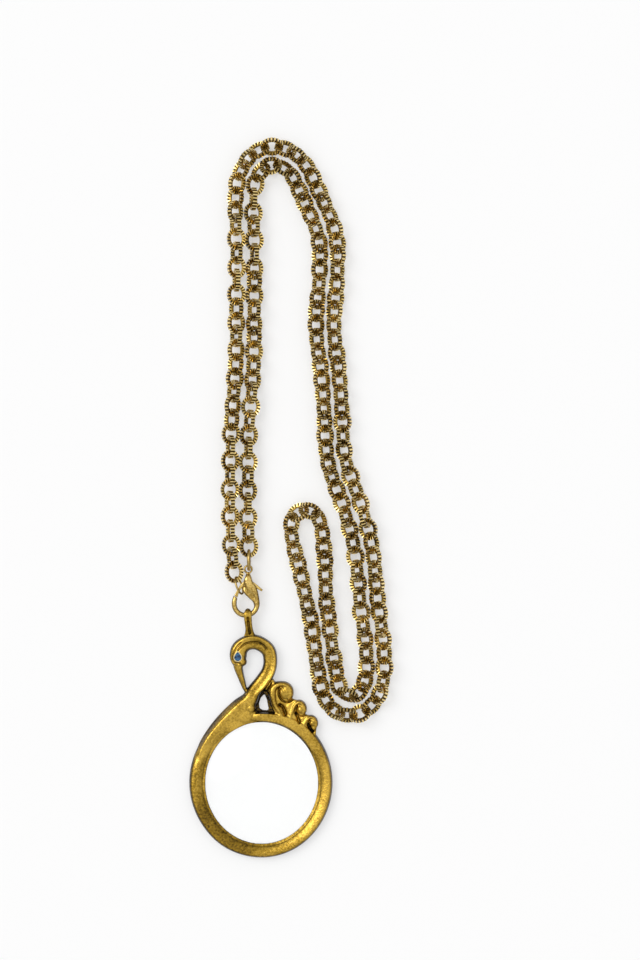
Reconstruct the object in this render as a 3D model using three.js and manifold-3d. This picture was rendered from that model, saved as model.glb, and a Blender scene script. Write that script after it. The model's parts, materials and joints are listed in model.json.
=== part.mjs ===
// Magnifier pendant necklace, laid flat: millimetres, +Z up.
// The origin is the middle of the lens, on the surface that the necklace lies on.
import * as THREE from 'three';
import { mergeVertices } from 'three/addons/utils/BufferGeometryUtils.js';
import Module from 'manifold-3d';

const wasm = await Module();
wasm.setup();

// Driving sizes of the pendant
const openingHalfWidth = 16.9;
const openingHalfHeight = 18.2;
const seatGap = 0.3;
const lensLip = 0.7;
const lipDepth = 0.5;
const lensEdge = 1.2;
const lensCrown = 4.0;
const ringCrest = 3.1;
const neckCrest = 3.6;
const featherCrest = 3.4;
const featherFloor = 1.5;
const eyeStoneRadius = 0.95;
const eyeStoneTip = 1.75;
const eyeStoneDepth = 0.9;
const eyeStoneGap = 0.2;
const eyeStoneRise = 0.5;

// Driving sizes of the bail and the clasp
const claspLevel = 2.8;
const hookWire = 1.5;
const claspThickness = 3.0;
const leverThickness = 0.9;
const leverHalfWidth = 0.42;
const leverGap = 0.3;
const rivetRadius = 0.4;
const rivetGap = 0.2;
const hubRadius = 1.05;
const springThickness = 0.25;
const bailWidth = 1.9;
const bailWire = 0.75;
const bailPlay = 0.4;
const eyeWall = 0.6;
const eyeThickness = 1.1;
const eyeRingWire = 1.0;
const eyeRingRadius = 2.8;
const gateRingWire = 0.6;
const floorGap = 0.05;
const gateRingRadius = 2.65;
const gateRingOut = 2.35;
const gateRingDown = 0.87;
const gateRingLift = 0.1;
const outerEndOut = 1.25;
const outerEndUp = 2.17;

// Driving sizes of the chain
const linkLength = 6.45;
const linkWidth = 5.8;
const linkWire = 1.15;
const linkBand = 1.5;
const linkInnerBand = 0.5;
const linkPlay = 0.34;
const weldDepth = 0.12;
const strandGap = 0.2;
const foldedHalfWidth = 4.7;
const foldedLength = 30;
const linksPerGroup = 4;
const outerEndLinks = 2;
const linkSides = 8;

// Geometry tools
const vector = (x, y, z = 0) => new THREE.Vector3(x, y, z);

function toSolid(geometry) {
  const bare = geometry.clone();
  bare.deleteAttribute('normal');
  bare.deleteAttribute('uv');
  const merged = mergeVertices(bare, 1e-4);
  const vertProperties = new Float32Array(merged.attributes.position.array);
  const triVerts = new Uint32Array(merged.index.array);
  return new wasm.Manifold(new wasm.Mesh({ numProp: 3, vertProperties, triVerts }));
}

function toGeometry(solid) {
  const mesh = solid.getMesh();
  const geometry = new THREE.BufferGeometry();
  geometry.setAttribute('position', new THREE.BufferAttribute(mesh.vertProperties, 3));
  geometry.setIndex(new THREE.BufferAttribute(mesh.triVerts, 1));
  geometry.computeVertexNormals();
  return geometry;
}

const join = (geometries) => geometries.map(toSolid).reduce((whole, part) => whole.add(part));

// Skin over rings of points: a closed loft comes back to its first ring, an open one gets end caps.
function loft(rings, closed) {
  const perRing = rings[0].length;
  const points = rings.flat();
  const index = [];
  const spans = closed ? rings.length : rings.length - 1;
  for (let i = 0; i < spans; i += 1) {
    const here = i * perRing;
    const next = ((i + 1) % rings.length) * perRing;
    for (let j = 0; j < perRing; j += 1) {
      const k = (j + 1) % perRing;
      index.push(here + j, next + j, next + k, here + j, next + k, here + k);
    }
  }
  if (!closed) {
    const last = points.length - perRing;
    for (let j = 1; j < perRing - 1; j += 1) {
      index.push(0, j, j + 1, last, last + j + 1, last + j);
    }
  }
  let volume = 0;
  for (let i = 0; i < index.length; i += 3) {
    const [a, b, c] = [points[index[i]], points[index[i + 1]], points[index[i + 2]]];
    volume += a.dot(b.clone().cross(c));
  }
  const geometry = new THREE.BufferGeometry().setFromPoints(points);
  geometry.setIndex(volume > 0 ? index : index.reverse());
  return geometry;
}

// Sweep in the lying plane: stations are [x, y, half width, crest height], and the section is
// given as [across, up] in half widths and crest heights.
function flatSweep(stations, section, steps, level = 0) {
  const path = new THREE.CatmullRomCurve3(stations.map(([x, y]) => vector(x, y)));
  const sizes = new THREE.CatmullRomCurve3(stations.map(([, , width, crest]) => vector(width, crest)));
  const rings = [];
  for (let i = 0; i <= steps; i += 1) {
    const centre = path.getPoint(i / steps);
    const along = path.getTangent(i / steps);
    const size = sizes.getPoint(i / steps);
    rings.push(section.map(([across, up]) => vector(
      centre.x - along.y * across * size.x,
      centre.y + along.x * across * size.x,
      level + up * size.y,
    )));
  }
  return loft(rings, false);
}

const reliefSection = [
  [-1, 0], [-1, 0.3], [-0.78, 0.72], [-0.25, 1], [0.35, 0.92], [0.82, 0.6], [1, 0.25], [1, 0],
];
const slabSection = [[-1, -1], [-1, 1], [1, 1], [1, -1]];
const roundSection = Array.from({ length: 8 }, (_, i) => {
  const angle = ((i + 0.5) / 8) * 2 * Math.PI;
  return [Math.cos(angle), Math.sin(angle)];
});

function extrude(shape, low, high) {
  const geometry = new THREE.ExtrudeGeometry(shape, {
    depth: high - low, bevelEnabled: false, curveSegments: 10,
  });
  return geometry.translate(0, 0, low);
}

const outline = (points) => new THREE.Shape(points.map(([x, y]) => new THREE.Vector2(x, y)));

function post(radius, low, high, x, y, sides = 16) {
  const geometry = new THREE.CylinderGeometry(radius, radius, high - low, sides);
  return geometry.rotateX(Math.PI / 2).translate(x, y, (low + high) / 2);
}

function drop(radius, tip, x, y) {
  const shape = new THREE.Shape();
  const side = Math.acos(radius / tip);
  shape.absarc(x, y, radius, Math.PI / 2 + side, Math.PI * 2.5 - side, false);
  shape.lineTo(x, y + tip);
  shape.closePath();
  return shape;
}

// Materials
const metal = (color, roughness) => new THREE.MeshStandardMaterial({ color, roughness, metalness: 1 });
const antiqueGold = () => metal(0xb8892d, 0.36);
const chainGold = () => metal(0x9a722c, 0.4);
const claspGold = () => metal(0xd9b95f, 0.3);
const ringMetal = () => metal(0x8d7f63, 0.35);
const springSteel = () => metal(0x9a9a98, 0.35);
const clearGlass = () => new THREE.MeshStandardMaterial({
  color: 0xf2f6f7, roughness: 0.03, metalness: 0, transparent: true, opacity: 0.35,
});
const blueGlass = () => new THREE.MeshStandardMaterial({ color: 0x1d5fa8, roughness: 0.08, metalness: 0 });

const necklace = new THREE.Group();

function place(name, geometry, material) {
  const mesh = new THREE.Mesh(geometry, material);
  mesh.name = name;
  necklace.add(mesh);
}

// Swan frame: ring with a rebate for the lens from the back
const lipLow = lensEdge + seatGap;
const rebate = lensLip + seatGap;
const ringBand = new THREE.CatmullRomCurve3(
  [4.4, 4.35, 3.4, 4.8, 4.9, 4.6, 4.3, 4.3].map((band) => vector(band, 0)),
  true,
);

function onOval(angle, outward, z) {
  const facing = vector(Math.cos(angle) / openingHalfWidth, Math.sin(angle) / openingHalfHeight).normalize();
  return vector(
    openingHalfWidth * Math.cos(angle) + outward * facing.x,
    openingHalfHeight * Math.sin(angle) + outward * facing.y,
    z,
  );
}

function lensRing(steps) {
  const rings = [];
  for (let i = 0; i < steps; i += 1) {
    const angle = (i / steps) * 2 * Math.PI;
    const band = ringBand.getPoint(i / steps).x;
    const section = [
      [rebate, 0], [rebate, lipLow], [0, lipLow], [0, lipLow + lipDepth], [0.25 * band, 0.84 * ringCrest],
      [0.6 * band, ringCrest], [0.86 * band, 0.76 * ringCrest], [band, 0.36 * ringCrest], [band, 0],
    ];
    rings.push(section.map(([outward, z]) => onOval(angle, outward, z)));
  }
  return loft(rings, true);
}

// Swan frame: breast, neck and head in one sweep, the beak, and the curled feathers on their floor.
// Stations are [x, y, half width, share of the neck's crest height].
const crested = ([x, y, width, share]) => [x, y, width, share * neckCrest];
const neckStations = [
  [-16.9, 9.7, 2.6, 0.86], [-14.0, 13.9, 3.1, 0.89], [-10.4, 17.9, 3.45, 0.92], [-6.2, 22.3, 3.2, 0.94],
  [-3.5, 24.9, 2.7, 0.97], [-2.0, 27.7, 2.3, 1], [0.1, 30.4, 2.2, 1], [2.1, 33.7, 2.1, 1],
  [2.6, 36.7, 2.1, 1], [2.0, 39.7, 2.15, 1], [0.0, 41.5, 2.2, 1], [-2.4, 42.3, 2.25, 1],
  [-5.0, 41.7, 2.3, 1.03], [-6.7, 40.0, 2.55, 1.08], [-7.1, 37.6, 2.6, 1.08], [-7.1, 35.7, 1.9, 0.89],
].map(crested);
const beakStations = [
  [-7.1, 36.4, 2.0, 0.83], [-7.0, 34.7, 1.4, 0.78], [-6.5, 32.7, 1.1, 0.69], [-5.7, 30.2, 0.87, 0.61],
  [-5.0, 27.9, 0.55, 0.53],
].map(crested);
const feathers = [
  [
    [5.3, 20.2, 0.9], [3.9, 22.9, 1.0], [3.1, 25.6, 1.0], [3.0, 27.7, 1.0], [3.5, 29.3, 1.0],
    [4.9, 30.1, 1.0], [6.7, 30.0, 1.1], [8.2, 29.0, 1.25], [8.8, 27.4, 1.25], [8.3, 26.0, 1.1],
    [7.3, 25.7, 0.9],
  ],
  [
    [8.2, 19.9, 0.75], [9.0, 21.4, 0.8], [9.5, 23.2, 0.8], [10.4, 24.2, 0.8], [11.7, 24.4, 0.85],
    [12.8, 23.4, 0.9], [13.0, 22.0, 0.9], [12.3, 21.2, 0.7],
  ],
  [
    [12.2, 16.4, 0.6], [12.9, 17.9, 0.65], [13.6, 19.2, 0.65], [14.8, 19.8, 0.65], [16.1, 19.2, 0.7],
    [16.5, 18.0, 0.75], [16.0, 16.9, 0.7], [15.3, 16.8, 0.5],
  ],
].map((curl) => curl.map(([x, y, width]) => [x, y, width, featherCrest]));
const featherFloorOutline = [
  [0.2, 27.6], [1.0, 30.0], [2.2, 31.8], [3.9, 30.9], [5.8, 30.5], [8.2, 29.6], [9.3, 28.0], [9.1, 25.3],
  [10.9, 24.8], [12.7, 23.9], [13.5, 22.3], [13.0, 20.6], [14.8, 20.3], [16.3, 19.6], [16.8, 18.1],
  [16.5, 16.0], [16.9, 14.3], [15.0, 12.6], [8.9, 17.4], [5.2, 19.6], [3.1, 21.7], [2.2, 24.1], [2.0, 25.6],
  [0.9, 26.9],
];
const eyeStoneAt = [-7.1, 37.8];
const eyePocketFloor = neckCrest - eyeStoneDepth;

// The room that the lens and its opening take out of the casting
function lensRoom(count) {
  return loft([
    ovalRing(rebate, -1, count), ovalRing(rebate, lipLow, count), ovalRing(0, lipLow, count),
    ovalRing(0, 3 * ringCrest, count),
  ], false);
}

const swanFrame = join([
  lensRing(48),
  flatSweep(neckStations, reliefSection, 38),
  flatSweep(beakStations, reliefSection, 10),
  ...feathers.map((curl) => flatSweep(curl, reliefSection, 16)),
  extrude(outline(featherFloorOutline), 0, featherFloor),
]).subtract(toSolid(lensRoom(48))).subtract(toSolid(extrude(
  drop(eyeStoneRadius + eyeStoneGap, eyeStoneTip + eyeStoneGap, ...eyeStoneAt),
  eyePocketFloor,
  neckCrest * 2,
)));
place('swan_frame', toGeometry(swanFrame), antiqueGold());

// Lens: flat back, thin flange under the lip, domed front
function ovalRing(outward, z, count) {
  return Array.from({ length: count }, (_, i) => onOval((i / count) * 2 * Math.PI, outward, z));
}

function lensSolid(count) {
  const domeFoot = -seatGap;
  const rings = [ovalRing(lensLip, 0, count), ovalRing(lensLip, lensEdge, count)];
  for (const inset of [0, 0.2, 0.4, 0.6, 0.8, 0.97]) {
    const outward = domeFoot - inset * openingHalfWidth * 0.98;
    rings.push(ovalRing(outward, lensEdge + (lensCrown - lensEdge) * (1 - (1 - inset) ** 2), count));
  }
  return loft(rings, false);
}
place('lens', lensSolid(40), clearGlass());

// Eye stone, set in its pocket
const eyeStoneShape = drop(eyeStoneRadius, eyeStoneTip, ...eyeStoneAt);
place(
  'eye_stone',
  extrude(eyeStoneShape, eyePocketFloor + eyeStoneGap, neckCrest + eyeStoneRise),
  blueGlass(),
);

// Clasp places: the hook bottom sits in the bail, the eye takes the jump ring of the inner strand
const hookBottom = [-4.2, 50.55];
const claspEye = [-4.0, 64.2];
const leverPivot = [-4.4, 60.2];

// Bail loop: an upright loop, its hole across the pendant so that the hook can swing in it
function bailSolid() {
  const holeRadius = hookWire / 2 + bailPlay;
  const loopRadius = holeRadius + bailWire;
  const [, top] = hookBottom;
  const foot = top - 5.95;
  const holeFoot = foot + 1.8;
  const footLow = claspLevel - 1.5;
  const footHigh = claspLevel + 0.9;
  const shape = new THREE.Shape();
  shape.moveTo(foot, footLow);
  shape.lineTo(top, claspLevel - loopRadius);
  shape.absarc(top, claspLevel, loopRadius, -Math.PI / 2, Math.PI / 2, false);
  shape.lineTo(foot, footHigh);
  shape.closePath();
  const hole = new THREE.Path();
  hole.absarc(top, claspLevel, holeRadius, -Math.PI / 2, Math.PI / 2, false);
  hole.lineTo(holeFoot, footHigh - bailWire);
  hole.lineTo(holeFoot, footLow + bailWire);
  hole.closePath();
  shape.holes.push(hole);
  const upright = new THREE.Matrix4().makeBasis(vector(0, 1, 0), vector(0, 0, 1), vector(1, 0, 0));
  const geometry = extrude(shape, -bailWidth / 2, bailWidth / 2);
  return geometry.applyMatrix4(upright).translate(hookBottom[0], 0, 0);
}
place('bail_loop', bailSolid(), antiqueGold());

// Clasp body: stations [x, y, half width, half thickness] from the eye down the claw and round the hook
const halfClasp = claspThickness / 2;
const halfHook = hookWire / 2;
const claspStations = [
  [-4.0, 63.0, 0.5, 0.55], [-4.0, 61.8, 1.0, 0.9 * halfClasp], [-4.0, 60.2, 1.45, halfClasp],
  [-3.4, 58.3, 1.95, halfClasp], [-2.5, 56.7, 1.55, 0.9 * halfClasp], [-1.6, 55.0, 0.95, 0.7 * halfClasp],
  [-1.4, 53.3, halfHook, halfHook], [-1.9, 51.9, halfHook, halfHook], [-2.9, 50.95, halfHook, halfHook],
  [...hookBottom, halfHook, halfHook], [-5.6, 50.5, halfHook, halfHook], [-7.0, 51.2, halfHook, halfHook],
  [-8.0, 52.6, halfHook, halfHook],
  [-8.2, 54.3, halfHook, halfHook], [-7.9, 55.6, 0.65, 0.65],
];
const slotOutline = [
  [-7.0, 62.2], [0.6, 62.2], [0.6, 57.6], [-2.6, 57.6], [-3.6, 55.4], [-7.0, 55.4],
];
const slotHalf = leverThickness / 2 + leverGap;

function claspEyeSolid() {
  const shape = new THREE.Shape();
  const holeRadius = eyeRingWire / 2 + leverGap;
  shape.absarc(claspEye[0], claspEye[1], holeRadius + eyeWall, 0, 2 * Math.PI, false);
  const hole = new THREE.Path();
  hole.absarc(claspEye[0], claspEye[1], holeRadius, 0, 2 * Math.PI, false);
  shape.holes.push(hole);
  return extrude(shape, claspLevel - eyeThickness / 2, claspLevel + eyeThickness / 2);
}

const rivetHole = post(rivetRadius + rivetGap, claspLevel - 9, claspLevel + 9, ...leverPivot);
const claspBody = join([flatSweep(claspStations, roundSection, 34, claspLevel), claspEyeSolid()])
  .subtract(toSolid(extrude(outline(slotOutline), claspLevel - slotHalf, claspLevel + slotHalf)))
  .subtract(toSolid(rivetHole));
place('clasp_body', toGeometry(claspBody), claspGold());

// Trigger lever: gate arm, hub and thumb tab, each station's width a share of the gate arm's
const leverHalf = leverThickness / 2;
const leverStations = [
  [-7.55, 56.45, 1], [-6.9, 57.9, 1], [-6.0, 59.2, 1], [...leverPivot, 1.67], [-2.7, 59.8, 1.43],
  [-1.5, 59.0, 1.19], [0.2, 57.8, 0.71],
].map(([x, y, share]) => [x, y, share * leverHalfWidth, leverHalf]);
const lever = join([
  flatSweep(leverStations, slabSection, 22, claspLevel),
  post(hubRadius, claspLevel - leverHalf, claspLevel + leverHalf, ...leverPivot),
]).subtract(toSolid(rivetHole));
place('trigger_lever', toGeometry(lever), claspGold());

// Trigger rivet, flush with both cheeks
place(
  'trigger_rivet',
  post(rivetRadius, claspLevel - halfClasp, claspLevel + halfClasp, ...leverPivot, 12),
  claspGold(),
);

// Trigger spring: a bent leaf between the claw and the gate arm
const springStations = [[-2.95, 57.9], [-4.3, 57.5], [-5.25, 58.2]]
  .map(([x, y]) => [x, y, springThickness / 2, leverHalf * 0.8]);
place('trigger_spring', flatSweep(springStations, slabSection, 10, claspLevel), springSteel());

// Jump rings: one upright in the clasp eye, one leaning on the gate arm
const eyeRingLevel = eyeRingRadius + eyeRingWire / 2 + floorGap;
const eyeRingAt = vector(claspEye[0] + 0.2, claspEye[1] + eyeRingRadius, eyeRingLevel);
place(
  'eye_jump_ring',
  new THREE.TorusGeometry(eyeRingRadius, eyeRingWire / 2, 8, 20)
    .rotateY(Math.PI / 2).translate(eyeRingAt.x, eyeRingAt.y, eyeRingAt.z),
  ringMetal(),
);
const gateRingAt = vector(
  leverPivot[0] - gateRingOut,
  leverPivot[1] - gateRingDown,
  claspLevel + gateRingLift,
);
const gateRingLean = 15;
const gateRingTurn = 20;
place(
  'gate_jump_ring',
  new THREE.TorusGeometry(gateRingRadius, gateRingWire / 2, 8, 20)
    .rotateY(THREE.MathUtils.degToRad(90 - gateRingLean))
    .rotateZ(THREE.MathUtils.degToRad(gateRingTurn))
    .translate(gateRingAt.x, gateRingAt.y, gateRingAt.z),
  ringMetal(),
);

// Chain route: the middle line of the doubled chain, from the clasp to its folded end
const doubledRoute = [
  [-6.5, 71.5], [-6.8, 80.8], [-6.8, 88.9], [-6.7, 97.0], [-6.5, 105.1], [-6.0, 112.9], [-5.4, 120.4],
  [-5.0, 127.6], [-4.9, 142.9], [-4.8, 160.6], [-5.2, 172.0], [-4.9, 178.9], [-3.6, 183.4], [-1.2, 186.7],
  [1.6, 188.3], [4.8, 188.4], [7.9, 187.1], [10.8, 184.7], [12.7, 181.4], [14.2, 177.7], [16.0, 173.8],
  [17.8, 169.7], [19.5, 165.4], [20.2, 160.3], [20.1, 154.9], [19.8, 148.0], [19.1, 141.7], [19.1, 133.6],
  [19.9, 128.5], [20.5, 123.4], [21.4, 112.0], [22.0, 100.0], [22.9, 94.9], [24.7, 89.8], [26.6, 85.0],
  [28.5, 78.7], [30.1, 72.7], [31.0, 67.0], [31.6, 61.0], [32.2, 54.4], [32.9, 49.0], [33.7, 43.9],
  [34.1, 38.8], [34.2, 33.4], [33.0, 27.8], [30.2, 24.1], [26.4, 22.8], [22.6, 24.3], [20.4, 29.0],
  [19.4, 35.2], [18.3, 42.1], [17.6, 48.4], [16.4, 55.0], [15.6, 61.6], [14.8, 67.6], [13.9, 72.7],
  [13.2, 77.6],
];
// How far the links lean, in degrees, at distances from the clasp
const tiltMarks = [
  [0, 20], [42, 20], [54, 40], [80, 36], [90, 21], [104, 21], [116, 45], [150, 50], [185, 44], [215, 50],
  [235, 32], [262, 30], [275, 45], [300, 36], [330, 45], [352, 46], [380, 46],
];
const linkInner = linkLength - 2 * linkWire;
const strandHalf = ((linkWidth + linkBand) * Math.SQRT1_2 + strandGap) / 2;
const routeSteps = 2400;
const leadSteps = 60;

const smooth = (value) => THREE.MathUtils.smoothstep(value, 0, 1);

function linkTilt(distance) {
  const next = tiltMarks.findIndex(([mark]) => mark > distance);
  const [to, tiltTo] = tiltMarks.at(next);
  const [from, tiltFrom] = tiltMarks.at(Math.max(next - 1, 0));
  return THREE.MathUtils.degToRad(tiltFrom + (tiltTo - tiltFrom) * smooth((distance - from) / (to - from)));
}

function linkLevel(tilt) {
  const flat = Math.max(Math.cos(tilt), Math.sin(tilt));
  const steep = Math.min(Math.cos(tilt), Math.sin(tilt));
  return (linkWidth * flat + linkBand * steep) / 2;
}

// The whole chain as one line: up the inner strand, round the folded end, back down the outer strand
function chainLine() {
  const middle = new THREE.CatmullRomCurve3(doubledRoute.map(([x, y]) => vector(x, y)));
  middle.arcLengthDivisions = routeSteps;
  const length = middle.getLength();
  const inner = [];
  const outer = [];
  for (let i = 0; i <= routeSteps; i += 1) {
    const at = i / routeSteps;
    const centre = middle.getPointAt(at);
    const along = middle.getTangentAt(at);
    const spread = smooth(1 - ((1 - at) * length) / foldedLength);
    const half = strandHalf + (foldedHalfWidth - strandHalf) * spread;
    const z = linkLevel(linkTilt(at * length));
    inner.push(vector(centre.x + along.y * half, centre.y - along.x * half, z));
    outer.push(vector(centre.x - along.y * half, centre.y + along.x * half, z));
  }
  const end = middle.getPointAt(1);
  const along = middle.getTangentAt(1);
  const turn = [];
  for (let degrees = 2; degrees < 180; degrees += 2) {
    const side = Math.cos(THREE.MathUtils.degToRad(degrees)) * foldedHalfWidth;
    const ahead = Math.sin(THREE.MathUtils.degToRad(degrees)) * foldedHalfWidth;
    turn.push(vector(
      end.x + along.y * side + along.x * ahead,
      end.y - along.x * side + along.y * ahead,
      inner.at(-1).z,
    ));
  }
  const innerStart = vector(
    eyeRingAt.x,
    eyeRingAt.y + eyeRingRadius - eyeRingWire / 2 - linkPlay / 2,
    inner[0].z,
  );
  const outerEnd = vector(gateRingAt.x - outerEndOut, gateRingAt.y + outerEndUp, outer[0].z);
  const lead = (from, to) => (
    Array.from({ length: leadSteps }, (_, i) => from.clone().lerp(to, i / leadSteps))
  );
  outer.reverse();
  const start = lead(innerStart, inner[0]);
  const finish = lead(outer.at(-1), outerEnd);
  return [...start, ...inner, ...turn, ...outer, ...finish, outerEnd];
}

const chainPoints = chainLine();

// Which links end a group: the folded end takes the links left over between the two strands' groups
function groupSizes(links) {
  const perStrand = Math.floor((links - outerEndLinks) / 2 / linksPerGroup) - 1;
  const inner = Array(perStrand).fill(linksPerGroup);
  const outer = [...Array(perStrand).fill(linksPerGroup), outerEndLinks];
  const left = links - outerEndLinks - 2 * perStrand * linksPerGroup;
  const folded = Math.ceil(left / 2);
  return [...inner, folded, left - folded, ...outer];
}

// Step along the chain line by straight link lengths, as a pulled chain lies
function stepAlong(lengths) {
  const stops = [chainPoints[0]];
  let segment = 0;
  for (const length of lengths) {
    const from = stops.at(-1);
    while (segment < chainPoints.length - 1 && chainPoints[segment + 1].distanceTo(from) < length) {
      segment += 1;
    }
    if (segment >= chainPoints.length - 1) {
      return null;
    }
    const a = chainPoints[segment];
    const b = chainPoints[segment + 1];
    const near = a.distanceTo(from);
    const far = b.distanceTo(from);
    stops.push(a.clone().lerp(b, near < length ? (length - near) / (far - near) : 0));
  }
  return stops;
}

function linkEnds(links) {
  const ends = [];
  for (const size of groupSizes(links)) {
    for (let i = 0; i < size; i += 1) {
      const joined = (linkInner + weldDepth) / 2;
      const free = (linkInner - linkPlay) / 2;
      ends.push([i === 0 ? free : joined, i === size - 1 ? free : joined]);
    }
  }
  return ends;
}

// The most links that fit, an even number so that side-by-side links of the two strands lean alike
function mostLinks() {
  let links = 40;
  while (stepAlong(linkEnds(links + 2).map(([a, b]) => a + b))) {
    links += 2;
  }
  return links;
}

const linkCount = mostLinks();
const ends = linkEnds(linkCount);

// The play that is left is shared among all links
function sharedStops() {
  let low = 1;
  let high = 1.03;
  for (let i = 0; i < 30; i += 1) {
    const middle = (low + high) / 2;
    if (stepAlong(ends.map(([a, b]) => (a + b) * middle))) {
      low = middle;
    } else {
      high = middle;
    }
  }
  return stepAlong(ends.map(([a, b]) => (a + b) * low));
}

const stops = sharedStops();

// One link: an oval ring whose band is narrower inside, with flat sides toward its neighbours
function linkGeometry() {
  const flats = Math.cos(Math.PI / linkSides);
  const holeWidth = (linkWidth - 2 * linkWire) / flats;
  const holeLength = linkInner / flats;
  const rings = Array.from({ length: linkSides }, (_, i) => {
    const angle = ((i + 0.5) / linkSides) * 2 * Math.PI;
    const corner = (width, length, height) => vector(
      (Math.sin(angle) * width) / 2,
      height,
      (Math.cos(angle) * length) / 2,
    );
    return [
      corner(holeWidth, holeLength, -linkInnerBand / 2),
      corner(linkWidth, linkLength, -linkBand / 2),
      corner(linkWidth, linkLength, linkBand / 2),
      corner(holeWidth, holeLength, linkInnerBand / 2),
    ];
  });
  return loft(rings, true);
}

const bareLink = linkGeometry();
let walked = 0;

function placedLink(i) {
  const along = stops[i + 1].clone().sub(stops[i]);
  const length = along.length();
  along.normalize();
  const fromClasp = Math.min(walked, stops.length * linkInner - walked);
  const onInner = i < linkCount / 2;
  const quarterTurns = onInner ? i : i + 1;
  const tilt = linkTilt(fromClasp) * (onInner ? 1 : -1) + (quarterTurns % 2) * (Math.PI / 2);
  walked += length;
  const flat = vector(along.y, -along.x).normalize();
  const above = flat.clone().cross(along).normalize();
  const facing = above.multiplyScalar(Math.cos(tilt)).addScaledVector(flat, Math.sin(tilt));
  const across = facing.clone().cross(along).normalize();
  const [before, after] = ends[i];
  const centre = stops[i].clone().addScaledVector(along, (length * before) / (before + after));
  const frame = new THREE.Matrix4().makeBasis(across, facing, along.clone()).setPosition(centre);
  if (frame.determinant() < 0) {
    frame.makeBasis(across.negate(), facing, along).setPosition(centre);
  }
  return bareLink.clone().applyMatrix4(frame);
}

const perStrand = (groupSizes(linkCount).length - 3) / 2;

function groupName(g) {
  const number = (n) => String(n).padStart(2, '0');
  if (g < perStrand) {
    return `chain_inner_${number(g + 1)}`;
  }
  if (g < perStrand + 2) {
    return `chain_fold_${number(g - perStrand + 1)}`;
  }
  return `chain_outer_${number(2 * perStrand + 3 - g)}`;
}

let firstLink = 0;
groupSizes(linkCount).forEach((size, g) => {
  const links = Array.from({ length: size }, (_, i) => placedLink(firstLink + i));
  place(groupName(g), toGeometry(join(links)), chainGold());
  firstLink += size;
});

export default necklace;
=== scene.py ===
import json
import math

import bmesh
import bpy
import numpy as np
from mathutils import Matrix, Vector


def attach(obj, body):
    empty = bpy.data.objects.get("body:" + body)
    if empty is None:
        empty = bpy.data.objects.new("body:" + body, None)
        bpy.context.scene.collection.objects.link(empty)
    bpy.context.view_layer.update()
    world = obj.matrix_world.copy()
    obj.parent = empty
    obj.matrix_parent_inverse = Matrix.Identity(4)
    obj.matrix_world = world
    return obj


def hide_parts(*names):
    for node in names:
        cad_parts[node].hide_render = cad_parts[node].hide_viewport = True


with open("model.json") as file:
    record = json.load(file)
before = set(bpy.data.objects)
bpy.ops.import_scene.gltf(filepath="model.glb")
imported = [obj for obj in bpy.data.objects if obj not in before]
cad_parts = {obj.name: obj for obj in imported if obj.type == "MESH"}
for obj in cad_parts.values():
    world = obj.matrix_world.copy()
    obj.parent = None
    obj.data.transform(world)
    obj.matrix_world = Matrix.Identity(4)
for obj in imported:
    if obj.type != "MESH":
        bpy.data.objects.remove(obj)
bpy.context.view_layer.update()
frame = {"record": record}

# The necklace lies on a plain white table in a pale room, whose ceiling is brightest to the upper left.
# It is seen straight from above, at 0.30 mm to a pixel of a picture 640 wide and 960 high.
MM = 0.001
scene = bpy.context.scene
scene.view_settings.view_transform = "Standard"

camera_lens = bpy.data.cameras.new("overhead_camera")
camera_lens.lens = 100
camera_lens.sensor_width = 36
camera = bpy.data.objects.new("overhead_camera", camera_lens)
picture_middle = (17.52, 90.96)
picture_height = 960 * 0.30
metal_level = 2.5
camera_height = picture_height * camera_lens.lens / camera_lens.sensor_width + metal_level
camera.location = Vector((*picture_middle, camera_height)) * MM
scene.collection.objects.link(camera)
scene.camera = camera

table_half = 8
table_level = -0.1 * MM
bm = bmesh.new()
bmesh.ops.create_grid(bm, x_segments=1, y_segments=1, size=table_half)
bmesh.ops.translate(bm, vec=(0, 0, table_level), verts=bm.verts)
table_mesh = bpy.data.meshes.new("table_top")
bm.to_mesh(table_mesh)
bm.free()
table_top = bpy.data.objects.new("table_top", table_mesh)
scene.collection.objects.link(table_top)
white_table = bpy.data.materials.new("white_table")
white_table.use_nodes = True
tabletop = white_table.node_tree
paint = tabletop.nodes["Principled BSDF"]
paint.inputs["Base Color"].default_value = (0.95, 0.95, 0.95, 1)
paint.inputs["Roughness"].default_value = 0.7
sight = tabletop.nodes.new("ShaderNodeLightPath")
looked_at = None
for ray in ("Is Camera Ray", "Is Glossy Ray", "Is Transmission Ray"):
    share = tabletop.nodes.new("ShaderNodeMath")
    share.operation = "MULTIPLY_ADD"
    share.inputs[1].default_value = 0.45
    share.use_clamp = True
    tabletop.links.new(sight.outputs[ray], share.inputs[0])
    if looked_at:
        tabletop.links.new(looked_at.outputs["Value"], share.inputs[2])
    else:
        share.inputs[2].default_value = 0
    looked_at = share
whiteness = tabletop.nodes.new("ShaderNodeEmission")
whiteness.inputs["Strength"].default_value = 1.0
lightened = tabletop.nodes.new("ShaderNodeMixShader")
tabletop.links.new(looked_at.outputs["Value"], lightened.inputs["Fac"])
tabletop.links.new(paint.outputs["BSDF"], lightened.inputs[1])
tabletop.links.new(whiteness.outputs["Emission"], lightened.inputs[2])
tabletop.links.new(lightened.outputs["Shader"], tabletop.nodes["Material Output"].inputs["Surface"])
table_mesh.materials.append(white_table)

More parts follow.
